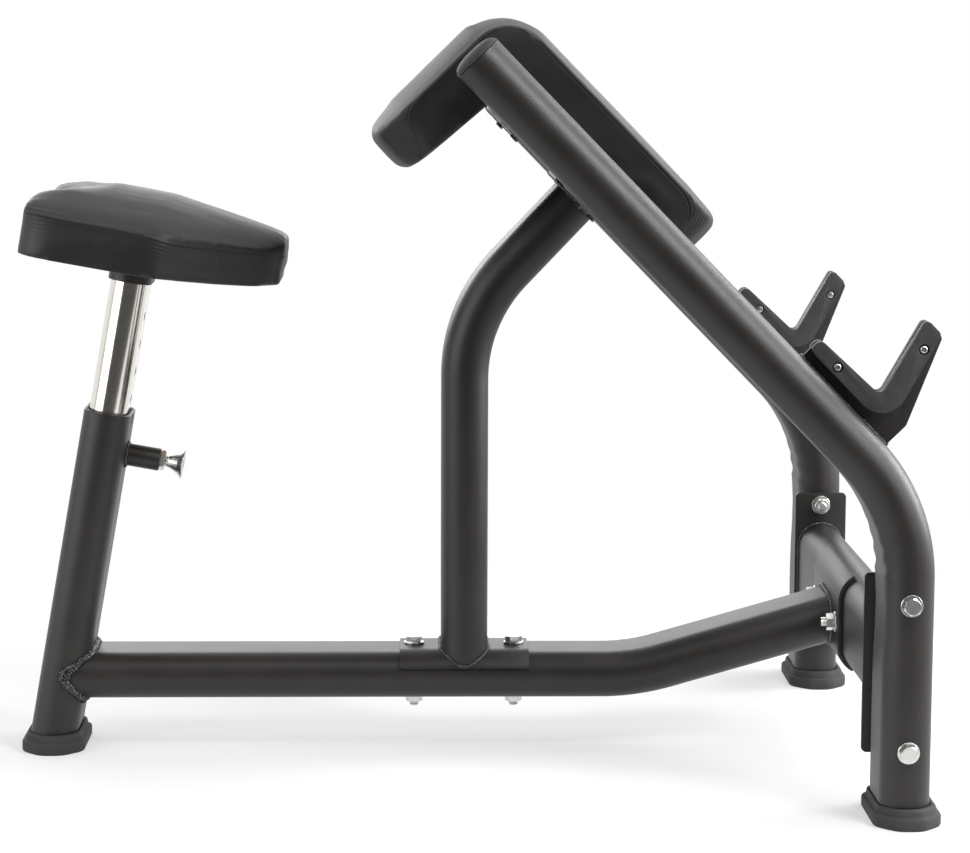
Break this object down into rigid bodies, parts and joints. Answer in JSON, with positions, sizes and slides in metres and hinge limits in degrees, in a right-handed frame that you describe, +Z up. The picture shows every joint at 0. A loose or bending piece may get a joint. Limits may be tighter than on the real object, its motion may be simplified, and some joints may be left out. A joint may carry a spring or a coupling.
{
  "type": "preacher bench",
  "caption": "Preacher curl bench: sloped hooked arm pad and bar hooks on a bent oval-tube frame, with a tapered seat on a pinned, height-adjustable chrome post.",
  "frame": {"origin": "middle of the outline on the floor, at the level of the feet's undersides", "axes": "+X is the way the user faces, +Y to the user's left, +Z up"},
  "size_m": [1.1242, 0.8926, 0.9428],
  "materials": {
    "powder_coat": "fine-textured charcoal powder coat",
    "chrome": "polished chrome",
    "zinc_steel": "bright zinc plating",
    "black_bolt_steel": "black oxide",
    "spring_steel": "ground steel",
    "foot_rubber": "matt black",
    "liner_plastic": "matt dark grey",
    "plug_plastic": "matt black",
    "cushion_vinyl": "grained black upholstery vinyl",
    "plywood": "bare plywood"
  },
  "bodies": {
    "frame": {"arm_pad": "cushion_vinyl", "arm_pad_board": "plywood", "bar_holder_far": "powder_coat", "bar_holder_near": "powder_coat", "base_bolt_front": "zinc_steel", "base_bolt_rear": "zinc_steel", "base_bracket": "powder_coat", "base_nut_front": "zinc_steel", "base_nut_rear": "zinc_steel", "cross_member": "powder_coat", "end_plate_far": "powder_coat", "end_plate_near": "powder_coat", "foot_cap_far": "foot_rubber", "foot_cap_front": "foot_rubber", "foot_cap_near": "foot_rubber", "front_post": "powder_coat", "leg_bolt_far_lower": "zinc_steel", "leg_bolt_far_upper": "zinc_steel", "leg_bolt_near_lower": "zinc_steel", "leg_bolt_near_upper": "zinc_steel", "liner_far_inner": "liner_plastic", "liner_far_outer": "liner_plastic", "liner_near_inner": "liner_plastic", "liner_near_outer": "liner_plastic", "liner_screw_far_arm": "zinc_steel", "liner_screw_far_tip": "zinc_steel", "liner_screw_near_arm": "zinc_steel", "liner_screw_near_tip": "zinc_steel", "main_beam": "powder_coat", "middle_post": "powder_coat", "pad_bolt_lower_far_a": "black_bolt_steel", "pad_bolt_lower_far_b": "black_bolt_steel", "pad_bolt_lower_near_a": "black_bolt_steel", "pad_bolt_lower_near_b": "black_bolt_steel", "pad_bolt_upper_far": "black_bolt_steel", "pad_bolt_upper_near": "black_bolt_steel", "pad_crossbar_lower": "powder_coat", "pad_crossbar_upper": "powder_coat", "pin_boss": "powder_coat", "pin_nut": "zinc_steel", "pin_spring": "spring_steel", "post_bushing": "plug_plastic", "saddle_bolt_far": "zinc_steel", "saddle_bolt_near": "zinc_steel", "saddle_nut_far": "zinc_steel", "saddle_nut_near": "zinc_steel", "saddle_plate": "powder_coat", "side_frame_far": "powder_coat", "side_frame_near": "powder_coat", "tube_plug_far": "plug_plastic", "tube_plug_near": "plug_plastic"},
    "seat": {"seat_board": "plywood", "seat_bracket": "powder_coat", "seat_cushion": "cushion_vinyl", "seat_post": "chrome"},
    "pin": {"pin_shaft": "spring_steel", "pin_knob": "zinc_steel"}
  },
  "joints": [
    {"name": "seat_height", "type": "slide", "parent": "frame", "child": "seat", "axis": [0.1754, 0, 0.9845], "range_m": [-0.144, 0.072]},
    {"name": "pin_pull", "type": "slide", "parent": "frame", "child": "pin", "axis": [0.9845, 0, -0.1754], "range_m": [0, 0.012], "stiffness_N_per_m": 900, "springref_m": -0.01}
  ]
}
